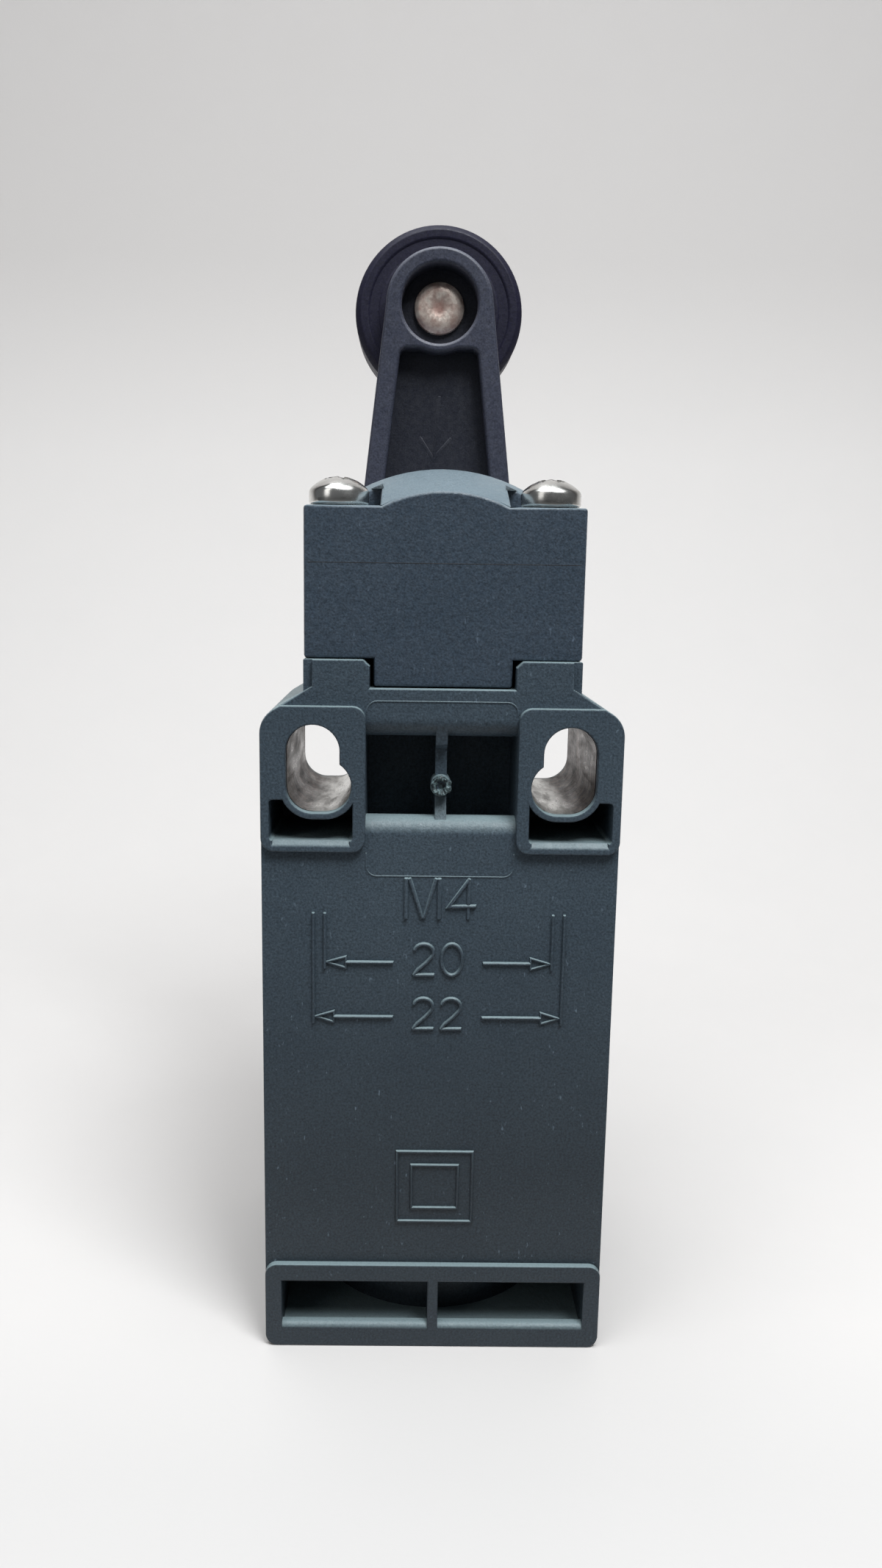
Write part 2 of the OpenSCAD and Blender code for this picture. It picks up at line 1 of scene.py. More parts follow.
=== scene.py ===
import math
import bpy
import bmesh
from mathutils import Vector, Matrix


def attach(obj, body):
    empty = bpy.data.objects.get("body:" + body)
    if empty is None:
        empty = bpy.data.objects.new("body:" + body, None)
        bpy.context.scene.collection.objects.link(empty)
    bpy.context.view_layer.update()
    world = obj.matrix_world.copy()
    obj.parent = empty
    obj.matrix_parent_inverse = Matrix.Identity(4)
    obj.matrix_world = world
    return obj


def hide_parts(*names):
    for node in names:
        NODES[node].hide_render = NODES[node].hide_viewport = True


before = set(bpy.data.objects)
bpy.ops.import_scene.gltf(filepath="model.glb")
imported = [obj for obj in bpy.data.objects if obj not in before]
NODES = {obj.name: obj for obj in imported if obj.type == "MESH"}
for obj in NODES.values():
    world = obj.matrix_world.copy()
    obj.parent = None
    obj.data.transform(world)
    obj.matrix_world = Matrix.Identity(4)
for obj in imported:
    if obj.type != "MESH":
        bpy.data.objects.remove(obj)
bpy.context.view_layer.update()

MM = 0.001
HOLE_Z = 53.1          # heights below are given from the bottom of the body, as in the part's source
FACE_Y = 0.6           # main back face
PI = math.pi


def P(x, y, z):
    """A point in millimetres, with its height from the bottom of the body, in the row frame."""
    return Vector((x, y, z - HOLE_Z)) * MM


# ------------------------------------------------------------------ camera

def look():
    p, w, r = math.radians(10.248), math.radians(0.500), math.radians(0.789)
    f = Vector((math.sin(w) * math.cos(p), math.cos(w) * math.cos(p), -math.sin(p)))
    right = Vector((math.cos(w), -math.sin(w), 0))
    up = right.cross(f)
    x = math.cos(r) * right + math.sin(r) * up
    y = -math.sin(r) * right + math.cos(r) * up
    m = Matrix((x, y, -f)).transposed().to_4x4()
    m.translation = Vector((-2.93, -96.15, 17.74)) * MM
    return m


cam_data = bpy.data.cameras.new("camera")
cam_data.sensor_width = 36
cam_data.lens = 36 * 1560 / 2133
cam_data.clip_start, cam_data.clip_end = 0.005, 10
cam_data.shift_x = 0.01533
cam = bpy.data.objects.new("camera", cam_data)
bpy.context.scene.collection.objects.link(cam)
cam.matrix_world = look()
bpy.context.scene.camera = cam
bpy.context.scene.view_settings.view_transform = "Standard"
bpy.context.scene.view_settings.look = "None"


# ------------------------------------------------------------------ materials

class Mat:
    """A small helper that builds a node material."""

    def __init__(self, name, **sockets):
        self.m = bpy.data.materials.new(name)
        self.m.use_nodes = True
        self.t = self.m.node_tree
        self.b = self.t.nodes["Principled BSDF"]
        for k, v in sockets.items():
            self.b.inputs[k.replace("_", " ")].default_value = v
        self.co = self.add("ShaderNodeTexCoord").outputs["Object"]

    def add(self, kind, **values):
        n = self.t.nodes.new(kind)
        for k, v in values.items():
            if hasattr(n, k):
                setattr(n, k, v)
            else:
                n.inputs[k.replace("_", " ")].default_value = v
        return n

    def link(self, a, b):
        self.t.links.new(a, b)

    def noise(self, scale, detail=2.0, rough=0.5, distort=0.0, stretch=None, shift=(0, 0, 0)):
        n = self.add("ShaderNodeTexNoise", Scale=scale, Detail=detail, Roughness=rough, Distortion=distort)
        co = self.co
        if stretch or any(shift):
            mp = self.add("ShaderNodeMapping")
            mp.inputs["Scale"].default_value = stretch or (1, 1, 1)
            mp.inputs["Location"].default_value = shift
            self.link(co, mp.inputs["Vector"])
            co = mp.outputs["Vector"]
        self.link(co, n.inputs["Vector"])
        return n.outputs["Fac"]

    def voronoi(self, scale, feature="F1"):
        n = self.add("ShaderNodeTexVoronoi", Scale=scale)
        n.feature = feature
        self.link(self.co, n.inputs["Vector"])
        return n.outputs["Distance"]

    def ramp(self, fac, *stops):
        n = self.add("ShaderNodeValToRGB")
        r = n.color_ramp
        while len(r.elements) < len(stops):
            r.elements.new(0.5)
        for e, (p, c) in zip(r.elements, stops):
            e.position = p
            e.color = (c, c, c, 1) if isinstance(c, (int, float)) else (*c, 1)
        self.link(fac, n.inputs["Fac"])
        return n.outputs["Color"]

    def range(self, fac, a, b, lo=0.0, hi=1.0):
        n = self.add("ShaderNodeMapRange")
        n.inputs["From Min"].default_value = lo
        n.inputs["From Max"].default_value = hi
        n.inputs["To Min"].default_value = a
        n.inputs["To Max"].default_value = b
        self.link(fac, n.inputs["Value"])
        return n.outputs["Result"]

    def mix(self, fac, a, b, mode="MIX"):
        n = self.add("ShaderNodeMix")
        n.data_type = "RGBA"
        n.blend_type = mode
        for s, v in ((n.inputs["Factor"], fac), (n.inputs[6], a), (n.inputs[7], b)):
            if isinstance(v, bpy.types.NodeSocket):
                self.link(v, s)
            elif isinstance(v, (int, float)):
                s.default_value = v
            else:
                s.default_value = (*v, 1)
        return n.outputs[2]

    def math(self, op, a, b=0.0, clamp=False):
        n = self.add("ShaderNodeMath")
        n.operation = op
        n.use_clamp = clamp
        for s, v in ((n.inputs[0], a), (n.inputs[1], b)):
            if isinstance(v, bpy.types.NodeSocket):
                self.link(v, s)
            else:
                s.default_value = v
        return n.outputs[0]

    def xyz(self):
        n = self.add("ShaderNodeSeparateXYZ")
        self.link(self.co, n.inputs["Vector"])
        return n.outputs

    def set(self, **links):
        for k, v in links.items():
            self.link(v, self.b.inputs[k.replace("_", " ")])

    def bump(self, height, strength, distance, under=None):
        n = self.add("ShaderNodeBump", Strength=strength, Distance=distance)
        self.link(height, n.inputs["Height"])
        if under is not None:
            self.link(under, n.inputs["Normal"])
        return n.outputs["Normal"]


def plastic(name, base, light, rough=0.44, grain=1.0, specks=0.5, low=1.0, painted_top_highlight=0.0, gloss=0.5, painted_recess_shade=None):
    """Glass-filled moulded plastic: fine spark-eroded grain, faint clouds, pale specks."""
    m = Mat(name, Roughness=rough, Specular_IOR_Level=gloss)
    fine = m.noise(5200, 3.0, 0.62)
    coarse = m.noise(1900, 2.0, 0.5)
    cloud = m.noise(95, 3.0, 0.55)
    fibre = m.noise(2600, 2.0, 0.6, stretch=(1, 1, 0.35))
    col = m.mix(m.range(cloud, 0, 1, 0.34, 0.66), base, light)
    mott = m.range(fine, 0.58, 1.46, 0.28, 0.72)
    n = m.add("ShaderNodeVectorMath")
    n.operation = "SCALE"
    m.link(col, n.inputs[0])
    # painted shade: below, the colour darkens towards the bottom of the part, down to the factor low
    if low < 1.0:
        mott = m.math("MULTIPLY", mott, m.range(m.xyz()[2], low, 1.0, -0.036, -0.010))
    if painted_recess_shade:
        # painted shade: the bottom of a recess is darker than its rim
        mott = m.math("MULTIPLY", mott, m.range(m.xyz()[1], 1.0, painted_recess_shade[2], painted_recess_shade[0], painted_recess_shade[1]))
    m.link(mott, n.inputs["Scale"])
    col = n.outputs["Vector"]
    if painted_top_highlight:
        # painted highlight: faces that look up are paler, as if lit from above
        g = m.add("ShaderNodeNewGeometry")
        sep = m.add("ShaderNodeSeparateXYZ")
        m.link(g.outputs["Normal"], sep.inputs["Vector"])
        up = m.range(sep.outputs["Z"], 0, 1, 0.12, 0.90)
        up = m.math("MULTIPLY", up, m.range(fine, painted_top_highlight * 0.82, painted_top_highlight * 1.14, 0.3, 0.7), True)
        col = m.mix(up, col, (light[0] * 3.2 + 0.012, light[1] * 3.1 + 0.010, light[2] * 2.6 + 0.010))
    spot = m.math("MULTIPLY", m.range(fibre, 0, 1, 0.66, 0.74), m.range(coarse, 0, 1, 0.5, 0.6), True)
    pale = tuple(min(1, c * 5 + 0.05) for c in light)
    col = m.mix(m.math("MULTIPLY", spot, 0.35 * specks), col, pale)
    m.set(Base_Color=col, Roughness=m.range(coarse, rough - 0.06, rough + 0.10, 0.3, 0.7))
    h = m.math("ADD", m.math("MULTIPLY", fine, 0.6), m.math("MULTIPLY", coarse, 0.7))
    m.set(Normal=m.bump(h, 0.6 * grain, 0.00010))
    return m.m


def metal(name, base, dark, rough=0.28, grain=0.4, scale=900, stretch=None):
    m = Mat(name, Roughness=rough, Metallic=1.0)
    a = m.noise(scale, 4.0, 0.6, stretch=stretch)
    b = m.noise(scale * 0.16, 3.0, 0.6)
    col = m.mix(m.range(b, 0, 1, 0.4, 0.7), base, dark)
    col = m.mix(m.range(a, 0, 0.45, 0.45, 0.75), col, dark)
    m.set(Base_Color=col, Roughness=m.range(a, rough - 0.08, rough + 0.14, 0.3, 0.7))
    m.set(Normal=m.bump(a, grain, 0.00003))
    return m.m


# painted highlight: the up-facing strength given to the first three finishes below pales the faces that look up
BODY = plastic("body_plastic", (0.0455, 0.0650, 0.0845), (0.0520, 0.0730, 0.0930), specks=0.7, low=0.46, painted_top_highlight=1.0, gloss=0.32)
HEAD = plastic("head_plastic", (0.0370, 0.0545, 0.0765), (0.0430, 0.0610, 0.0840), specks=0.7, painted_top_highlight=0.8, gloss=0.40)
LEVER = plastic("lever_plastic", (0.0365, 0.0405, 0.0600), (0.0425, 0.0465, 0.0680), 0.40, 0.45, 0.2, painted_top_highlight=0.9, gloss=0.35, painted_recess_shade=(0.0362, 0.0374, 0.42))
ROLLER = plastic("roller_plastic", (0.0090, 0.0085, 0.0220), (0.0110, 0.0105, 0.0250), 0.50, 0.4, 0.1, gloss=0.25)
RUBBER = plastic("seal_rubber", (0.010, 0.010, 0.012), (0.014, 0.014, 0.016), 0.6, 0.5, 0.0)
NATURAL = plastic("natural_nylon", (0.62, 0.60, 0.52), (0.70, 0.68, 0.60), 0.45, 0.3, 0.0)
PALE = plastic("block_plastic", (0.66, 0.64, 0.58), (0.74, 0.72, 0.66), 0.5, 0.4, 0.0)
RED = plastic("plunger_plastic", (0.48, 0.04, 0.025), (0.56, 0.055, 0.03), 0.4, 0.3, 0.0)
ZINC = metal("zinc_plate", (0.90, 0.89, 0.86), (0.66, 0.65, 0.62), 0.20, 0.2, 700)
STEEL = metal("steel", (0.62, 0.62, 0.62), (0.45, 0.44, 0.43), 0.25, 0.3, 900)
SPRING = metal("spring_steel", (0.55, 0.55, 0.56), (0.35, 0.35, 0.36), 0.2, 0.2, 1200)
BRASS = metal("brass", (0.72, 0.52, 0.22), (0.45, 0.30, 0.12), 0.28, 0.3, 700)
BRONZE = metal("sintered_bronze", (0.55, 0.38, 0.20), (0.30, 0.20, 0.10), 0.42, 0.6, 2200)
SILVER = metal("silver", (0.85, 0.85, 0.83), (0.6, 0.6, 0.58), 0.2, 0.2, 900)


def patina():
    """The metal linings of the fixing holes: a painted highlight makes them bright at the bottom, brown and streaked
    on the walls.
    """
    m = Mat("bush_metal", Metallic=1.0, Roughness=0.34)
    x, y, z = m.xyz()
    a = m.noise(420, 5.0, 0.65, 0.15, stretch=(1, 0.30, 1))
    b = m.noise(2600, 4.0, 0.6, stretch=(1, 0.20, 1))
    streak = m.noise(1500, 4.0, 0.65, 0.3, stretch=(1, 1, 0.12))
    ax = m.math("ABSOLUTE", x)
    # painted highlight: the bottom of the bore is mixed to bright silver
    floor = m.range(m.math("ADD", z, m.math("MULTIPLY", m.math("SUBTRACT", ax, 0.0104), 0.75)), 1, 0, -0.0024, -0.0012)
    painted_bore_highlight = m.math("MULTIPLY", floor, m.range(a, 1, 0.35, 0.46, 0.66), True)
    wall = m.mix(m.range(streak, 0, 1, 0.36, 0.60), (0.135, 0.092, 0.074), (0.030, 0.024, 0.022))
    col = m.mix(painted_bore_highlight, wall, (0.70, 0.69, 0.66))
    col = m.mix(m.range(b, 0, 0.6, 0.52, 0.74), col, (0.09, 0.072, 0.055))
    m.set(Base_Color=col, Roughness=m.range(a, 0.24, 0.5, 0.35, 0.65))
    m.set(Normal=m.bump(m.math("ADD", b, m.math("MULTIPLY", streak, 0.8)), 0.6, 0.00008))
    return m.m


BUSH = patina()


def pin_metal():
    m = Mat("pin_metal", Metallic=0.55, Roughness=0.36)
    x, y, z = m.xyz()
    dz = m.math("SUBTRACT", z, 0.0470)
    r = m.math("SQRT", m.math("ADD", m.math("MULTIPLY", x, x), m.math("MULTIPLY", dz, dz)))
    a = m.noise(900, 4.0, 0.65)
    b = m.noise(3400, 3.0, 0.6)
    col = m.mix(m.range(a, 0, 1, 0.38, 0.62), (0.80, 0.70, 0.62), (0.50, 0.36, 0.31))
    col = m.mix(m.math("MULTIPLY", m.range(r, 1, 0, 0.0004, 0.0011), 0.7), col, (0.36, 0.17, 0.14))
    m.set(Base_Color=col, Roughness=m.range(b, 0.28, 0.5, 0.3, 0.7))
    m.set(Normal=m.bump(b, 0.4, 0.00004))
    return m.m


PIN = pin_metal()


def torn():
    m = Mat("torn_plastic", Roughness=0.5)
    a = m.noise(2600, 4.0, 0.7)
    m.set(Base_Color=m.mix(m.range(a, 0, 1, 0.42, 0.58), (0.012, 0.018, 0.022), (0.13, 0.19, 0.20)))
    m.set(Normal=m.bump(a, 0.6, 0.0001))
    return m.m


TORN = torn()

FINISH = {
    "housing": BODY, "front_cover": BODY, "head_housing": HEAD,
    "fixing_bush_left": BUSH, "fixing_bush_right": BUSH,
    "cover_gasket": RUBBER, "head_gasket": RUBBER, "shaft_seal": RUBBER,
    "cover_screw": ZINC, "head_screws": ZINC, "lever_screw": ZINC, "lever_washer": ZINC,
    "shaft": STEEL, "shaft_bush": BRONZE, "follower": NATURAL,
    "return_spring": SPRING, "plunger_spring": SPRING, "contact_spring": SPRING,
    "lever_arm": LEVER, "roller": ROLLER, "roller_bush": BRONZE, "roller_pin": PIN,
    "contact_block": PALE, "contact_lid": PALE, "plunger": RED, "bridge": BRASS,
    "terminal_upper_left": BRASS, "terminal_upper_right": BRASS,
    "terminal_lower_left": BRASS, "terminal_lower_right": BRASS,
    "clamp_washers": ZINC, "terminal_screws": ZINC,
}
for name, mat in FINISH.items():
    o = NODES[name]
    o.data.materials.clear()
    o.data.materials.append(mat)


# ------------------------------------------------------------------ softened copies of the moulded pieces

def link(me, name, body, mat):
    o = bpy.data.objects.new(name, me)
    bpy.context.scene.collection.objects.link(o)
    if mat is not None:
        o.data.materials.append(mat)
    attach(o, body)
    return o


def smooth(me, angle=35):
    """Smooth shading inside flat regions' limits: edges above the angle stay sharp."""
    bm = bmesh.new()
    bm.from_mesh(me)
    lim = math.radians(angle)
    for f in bm.faces:
        f.smooth = True
    for e in bm.edges:
        e.smooth = not (len(e.link_faces) == 2 and e.calc_face_angle(0) > lim)
    bm.to_mesh(me)
    bm.free()


def soften(node, body, width, segs=2, angle=28, concave=0.0, keep=None, name=None):
    """A copy of a CAD node with its sharp edges rounded, which stands for it."""
    src = NODES[node]
    bm = bmesh.new()
    bm.from_mesh(src.data)
    bmesh.ops.remove_doubles(bm, verts=bm.verts, dist=1e-6)
    bmesh.ops.dissolve_limit(bm, angle_limit=math.radians(0.8), verts=bm.verts, edges=bm.edges, delimit=set())
    bm.normal_update()
    lay = bm.edges.layers.float.new("bevel_weight_edge")
    lim = math.radians(angle)
    for e in bm.edges:
        if len(e.link_faces) != 2 or e.calc_face_angle(0) < lim:
            continue
        w = 1.0 if e.is_convex else concave
        if keep is not None:
            w *= keep(e)
        e[lay] = w
    me = bpy.data.meshes.new(name or node + "_soft")
    bm.to_mesh(me)
    bm.free()
    o = link(me, name or node + "_soft", body, FINISH[node])
    b = o.modifiers.new("round", "BEVEL")
    b.limit_method = "WEIGHT"
    b.offset_type = "OFFSET"
    b.width = width * MM
    b.segments = segs
    b.use_clamp_overlap = False
    b.miter_outer = "MITER_ARC"
    b.harden_normals = False
    dg = bpy.context.evaluated_depsgraph_get()
    done = bpy.data.meshes.new_from_object(o.evaluated_get(dg))
    o.modifiers.clear()
    o.data = done
    o.data.name = me.name
    smooth(o.data, 34)
    w = o.modifiers.new("normals", "WEIGHTED_NORMAL")
    w.keep_sharp = True
    w.weight = 80
    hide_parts(node)
    return o


def sharp(e, angle=28):
    return len(e.link_faces) == 2 and e.is_convex and e.calc_face_angle(0) > math.radians(angle)


def coords(e):
    return [(v.co.x / MM, v.co.y / MM, v.co.z / MM + HOLE_Z) for v in e.verts]


def in_plane(e, axis, at, tol=0.012):
    return all(abs(c[axis] - at) < tol for c in coords(e))


def in_box(e, lo, hi):
    return all(lo[i] <= c[i] <= hi[i] for c in coords(e) for i in range(3))


def round_groups(node, body, groups, name=None):
    """A copy of a CAD node with chosen families of edges rounded one after the other."""
    bm = bmesh.new()
    bm.from_mesh(NODES[node].data)
    bmesh.ops.remove_doubles(bm, verts=bm.verts, dist=1e-6)
    bmesh.ops.dissolve_limit(bm, angle_limit=math.radians(0.8), verts=bm.verts, edges=bm.edges, delimit=set())
    bm.normal_update()
    for width, clamp, pick in groups:
        es = [e for e in bm.edges if sharp(e) and pick(e)]
        if es:
            bmesh.ops.bevel(bm, geom=es, offset=width * MM, offset_type="OFFSET", segments=2, profile=0.5,
                            affect="EDGES", clamp_overlap=clamp, miter_outer="SHARP")
            bm.normal_update()
    me = bpy.data.meshes.new(name or node + "_soft")
    bm.to_mesh(me)
    bm.free()
    o = link(me, name or node + "_soft", body, FINISH[node])
    smooth(me, 34)
    w = o.modifiers.new("normals", "WEIGHTED_NORMAL")
    w.keep_sharp = True
    w.weight = 80
    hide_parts(node)
    return o


housing = round_groups("housing", "body", [
    # rims of the ear pads, the keyholes, the pockets and windows, and of the bottom bar
    (0.17, False, lambda e: in_plane(e, 1, 0.0)),
    # main back face
    (0.17, False, lambda e: in_plane(e, 1, FACE_Y)),
    # tops of the corner posts and the edge of the neck
    (0.14, True, lambda e: in_plane(e, 2, 63.9)),
    (0.14, True, lambda e: in_plane(e, 2, 61.5) and in_plane(e, 1, 1.15)),
    # rib in the pocket
    (0.12, True, lambda e: in_box(e, (-0.8, 0.61, 49.4), (0.8, 2.3, 58.6))),
    # front of the ears and the rim of the shell, seen from the sides
    (0.2, True, lambda e: in_plane(e, 1, 19.0) and in_box(e, (-15.6, 18, 47), (15.6, 20, 62))),
    (0.2, True, lambda e: in_plane(e, 2, 0.0) and in_box(e, (-15.6, 0.3, -1), (15.6, 27, 1)) and
        all(abs(c[0]) > 12 or c[1] < 1 for c in coords(e))),
])
head = soften("head_housing", "body", 0.26)
cover = soften("front_cover", "body", 0.2)
lever = soften("lever_arm", "lever", 0.42, 3)
roller = soften("roller", "roller", 0.12)
screws = soften("head_screws", "body", 0.22, 3)
rivet = soften("roller_pin", "lever", 0.10, 2, 60)

for n, o in NODES.items():
    if not o.hide_render:
        for m in o.data.polygons:
            m.use_smooth = True


# ------------------------------------------------------------------ raised marks

SECTION = ((-1.0, 0.0), (-0.93, 0.38), (-0.73, 0.72), (-0.40, 0.94), (0.0, 1.0), (0.40, 0.94), (0.73, 0.72), (0.93, 0.38), (1.0, 0.0))


def stroke(bm, pts, w, h, y, closed=False, sink=0.03, wave=0.0):
    """Adds a closed rounded ridge along points (x, height) on a face that looks towards -Y."""
    pts = [Vector((a, b)) for a, b in pts]
    if wave:
        fine = []
        for i, q in enumerate(pts[:-1]):
            n = max(1, int((pts[i + 1] - q).length / 0.45))
            fine += [q.lerp(pts[i + 1], k / n) for k in range(n)]
        pts = fine + [pts[-1]]
    n = len(pts)
    rows = []
    for i, q in enumerate(pts):
        a = pts[(i - 1) % n] if closed or i else None
        b = pts[(i + 1) % n] if closed or i < n - 1 else None
        d0 = (q - a).normalized() if a is not None else (b - q).normalized()
        d1 = (b - q).normalized() if b is not None else d0
        t = (d0 + d1).normalized()
        nrm = Vector((-t.y, t.x))
        c = max(0.35, nrm.dot(Vector((-d1.y, d1.x))))
        k = w / c
        hh = h * (1 + wave * math.sin(7.3 * i + 1.7 * q.x))
        rows.append([(q + nrm * (k * u), hh * v) for u, v in SECTION])
    if not closed:
        first, last = rows[0], rows[-1]
        d0 = (pts[0] - pts[1]).normalized() * w * 0.55
        d1 = (pts[-1] - pts[-2]).normalized() * w * 0.55
        rows.insert(0, [(pts[0] + (q - pts[0]) * 0.7 + d0, 0.0) for q, v in first])
        rows.append([(pts[-1] + (q - pts[-1]) * 0.7 + d1, 0.0) for q, v in last])
    grid = []
    for row in rows:
        top = [bm.verts.new(P(q.x, y - v, q.y)) for q, v in row]
        low = [bm.verts.new(P(q.x, y + sink, q.y)) for q, v in (row[0], row[-1])]
        grid.append([low[0]] + top + [low[1]])
    m = len(grid[0])
    spans = len(grid) if closed else len(grid) - 1
    fs = []
    for i in range(spans):
        g0, g1 = grid[i], grid[(i + 1) % len(grid)]
        for k in range(m):
            fs.append(bm.faces.new((g0[k], g1[k], g1[(k + 1) % m], g0[(k + 1) % m])))
    if not closed:
        fs.append(bm.faces.new(grid[0]))
        fs.append(bm.faces.new(list(reversed(grid[-1]))))
    bmesh.ops.recalc_face_normals(bm, faces=fs)


def piece(bm, name, body, mat, angle=40):
    me = bpy.data.meshes.new(name)
    bm.to_mesh(me)
    bm.free()
    smooth(me, angle)
    return link(me, name, body, mat)


def ell(cx, cz, rx, rz, a0, a1, n):
    return [(cx + rx * math.cos(math.radians(a0 + (a1 - a0) * i / n)),
             cz + rz * math.sin(math.radians(a0 + (a1 - a0) * i / n))) for i in range(n + 1)]


def two(x, z, w, h):
    arc = ell(x + w * 0.5, z + h * 0.74, w * 0.46, h * 0.26, 165, -32, 12)
    return arc + [(x + w * 0.62, z + h * 0.40), (x + w * 0.22, z + h * 0.17), (x + w * 0.02, z)], \
        [(x + w * 0.02, z), (x + w, z + 0.02)]


def figures():
    bm = bmesh.new()
    y, w, h = FACE_Y, 0.16, 0.25
    for x, z in ((-2.2, 36.22), (-2.2, 31.2), (0.28, 31.2)):
        for q in two(x, z, 1.85, 2.85):
            stroke(bm, q, w, h, y)
    stroke(bm, ell(1.2, 37.66, 0.92, 1.44, 0, 360, 32)[:-1], w, h, y, closed=True)
    # M4
    stroke(bm, [(-2.9, 41.42), (-2.9, 45.0)], 0.2, 0.26, y)
    stroke(bm, [(-2.62, 45.0), (-1.5, 41.55), (-1.3, 41.55), (-0.28, 45.0)], 0.18, 0.25, y)
    stroke(bm, [(0.0, 41.42), (0.0, 45.0)], 0.2, 0.26, y)
    stroke(bm, [(2.62, 45.0), (0.85, 42.5), (3.2, 42.56)], 0.16, 0.26, y)
    stroke(bm, [(2.56, 41.42), (2.56, 44.8)], 0.17, 0.19, y)
    return piece(bm, "moulded_figures", "body", BODY)


def dimension_marks():
    bm = bmesh.new()
    y = FACE_Y
    for s in (-1, 1):
        for z, tip, head in ((37.34, 9.85, 8.15), (32.28, 10.8, 9.2)):
            stroke(bm, [(s * 3.97, z), (s * head, z)], 0.15, 0.26, y, wave=0.08)
            stroke(bm, [(s * tip, z), (s * head, z + 0.5), (s * head, z - 0.52)], 0.10, 0.20, y, closed=True)
        stroke(bm, [(s * 10, 36.8), (s * 10, 41.8)], 0.14, 0.27, y, wave=0.06)
        stroke(bm, [(s * 11, 31.7), (s * 11, 41.8)], 0.14, 0.27, y, wave=0.06)
    return piece(bm, "dimension_marks", "body", BODY)


def square_marks():
    bm = bmesh.new()
    y = FACE_Y
    for a, z0, z1 in ((3.42, 12.5, 19.38), (2.1, 13.84, 18.06)):
        stroke(bm, [(-a, z0), (a, z0), (a, z1), (-a, z1)], 0.13, 0.24, y, closed=True)
    return piece(bm, "square_marks", "body", BODY)


def witness_lines():
    bm = bmesh.new()
    y = FACE_Y
    low = [(-6.42, 47.2), (-6.42, 46.1)] + ell(-5.52, 46.07, 0.9, 0.9, 180, 270, 6) + \
        ell(5.52, 46.07, 0.9, 0.9, 270, 360, 6) + [(6.42, 46.1), (6.42, 47.2)]
    stroke(bm, low, 0.07, 0.05, y)
    high = [(-6.42, 59.3), (-6.42, 59.5)] + ell(-5.52, 59.52, 0.9, 0.9, 180, 90, 6) + \
        ell(5.52, 59.52, 0.9, 0.9, 90, 0, 6) + [(6.42, 59.5), (6.42, 59.3)]
    stroke(bm, high, 0.07, 0.05, y)
    return piece(bm, "witness_lines", "body", BODY)


def lever_arrow():
    bm = bmesh.new()
    y = 37.7
    stroke(bm, [(0.15, 90.6), (-0.35, 84.0)], 0.20, 0.025, y)
    stroke(bm, [(-2.0, 86.2), (-0.45, 83.9), (1.5, 86.1)], 0.20, 0.025, y)
    return piece(bm, "lever_arrow", "lever", LEVER)


def head_seam():
    bm = bmesh.new()
    # painted shade: the parting line is a thin ridge given the near-black seal rubber finish, so that it reads as a
    # dark line
    stroke(bm, [(-11.4, 71.93), (11.4, 71.93)], 0.03, 0.010, 1.2)
    return piece(bm, "head_seam", "body", RUBBER)


def rough(a, b):
    """Small repeatable irregularity in 0..1."""
    v = math.sin(a * 12.9898 + b * 78.233) * 43758.5453
    return v - math.floor(v)


def gate_mark():
    """Torn plastic on the stub left by the moulding gate."""
    bm = bmesh.new()
    n = 40
    rows = []
    spec = ((0.90, -0.10), (0.88, 0.26), (0.70, 0.40), (0.50, 0.24), (0.34, -0.10), (0.30, -0.70))
    for j, (r, t) in enumerate(spec):
        row = []
        for i in range(n):
            a = 2 * PI * i / n
            k = rough(i // 2, j) - 0.5
            rr = r * (1 + 0.16 * k) + 0.05 * (rough(i, j + 9) - 0.5)
            tt = t + (0.30 * (rough(i // 2, j + 3) - 0.4) if 0 < j < 5 else 0.0)
            row.append(bm.verts.new(P(rr * math.cos(a), FACE_Y + 0.75 - tt, 53.1 + rr * math.sin(a))))
        rows.append(row)
    fs = []
    for j in range(len(rows) - 1):
        for i in range(n):
            fs.append(bm.faces.new((rows[j][i], rows[j + 1][i], rows[j + 1][(i + 1) % n], rows[j][(i + 1) % n])))
    fs.append(bm.faces.new(list(reversed(rows[-1]))))
    fs.append(bm.faces.new(rows[0]))
    bmesh.ops.recalc_face_normals(bm, faces=fs)
    return piece(bm, "gate_mark", "body", TORN, 12)


figures()
dimension_marks()
square_marks()
witness_lines()
lever_arrow()
head_seam()
gate_mark()


# ------------------------------------------------------------------ floor and backdrop

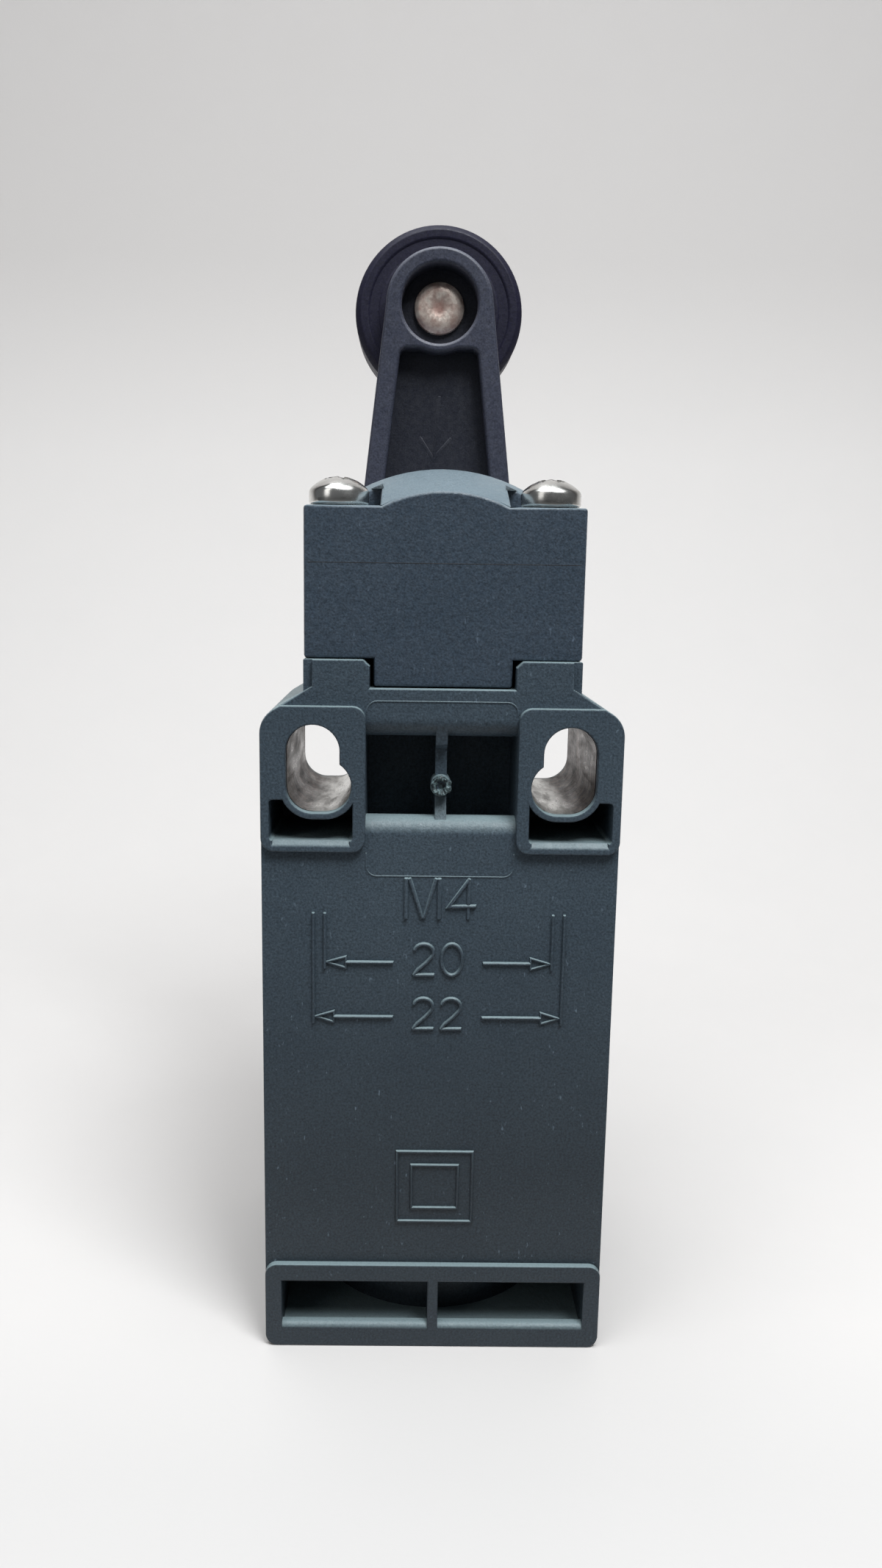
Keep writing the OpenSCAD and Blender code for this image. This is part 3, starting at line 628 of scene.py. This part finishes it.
def backdrop():
    m = Mat("studio", Roughness=0.75)
    x, y, z = m.xyz()
    n1 = m.noise(60, 4.0, 0.6)
    n2 = m.noise(1400, 3.0, 0.6)
    # painted shade: the backdrop darkens the higher it rises
    backdrop_height_shade = m.range(z, 0, 1, 0.05, 0.30)
    col = m.mix(backdrop_height_shade, (0.608, 0.586, 0.572), (0.352, 0.334, 0.326))
    col = m.mix(m.range(n1, 0, 0.10, 0.4, 0.7), col, (0.545, 0.535, 0.525))
    # painted shade: the floor in front of the body is darker
    floor_front_shade = m.range(y, 0, 1, 0.004, -0.016)
    col = m.mix(floor_front_shade, col, (0.562, 0.545, 0.534))
    col = m.mix(m.range(y, 1, 0, -0.060, -0.027), col, (0.06, 0.06, 0.06))
    m.set(Base_Color=col)
    m.set(Normal=m.bump(n2, 0.15, 0.0001))
    bm = bmesh.new()
    prof = [(-1.2, -0.0531)]
    yb, rad = 0.09, 0.16
    for i in range(25):
        a = PI / 2 * i / 24
        prof.append((yb + rad * math.sin(a), -0.0531 + rad * (1 - math.cos(a))))
    prof.append((yb + rad, 1.3))
    xs = (-1.6, 1.6)
    rows = [[bm.verts.new((x, y, z)) for (y, z) in prof] for x in xs]
    for i in range(len(prof) - 1):
        bm.faces.new((rows[0][i], rows[1][i], rows[1][i + 1], rows[0][i + 1]))
    for f in bm.faces:
        f.smooth = True
    bmesh.ops.recalc_face_normals(bm, faces=bm.faces)
    me = bpy.data.meshes.new("backdrop")
    bm.to_mesh(me)
    bm.free()
    o = bpy.data.objects.new("backdrop", me)
    bpy.context.scene.collection.objects.link(o)
    me.materials.append(m.m)
    return o


backdrop()


def area(name, at, to, size, power, color=(1, 1, 1), size_y=None):
    d = bpy.data.lights.new(name, "AREA")
    d.shape = "RECTANGLE"
    d.size = size
    d.size_y = size_y or size
    d.energy = power
    d.color = color
    o = bpy.data.objects.new(name, d)
    bpy.context.scene.collection.objects.link(o)
    o.location = at
    o.rotation_mode = "QUATERNION"
    o.rotation_quaternion = (Vector(to) - Vector(at)).to_track_quat("-Z", "Y")
    return o


area("key", (0.12, -0.17, 0.36), (0, 0.02, 0.0), 0.16, 1.7, (0.95, 0.98, 1.0))
area("top", (-0.08, -0.10, 0.62), (0, 0.02, 0.0), 0.5, 4.0, (0.95, 0.98, 1.0))

area("side", (-0.34, -0.34, 0.24), (0, 0.02, 0.02), 0.18, 0.28, (1.0, 0.99, 0.98), 0.45)

world = bpy.data.worlds.new("world")
bpy.context.scene.world = world
world.use_nodes = True
world.node_tree.nodes["Background"].inputs["Color"].default_value = (0.93, 0.96, 1.0, 1)
world.node_tree.nodes["Background"].inputs["Strength"].default_value = 0.10
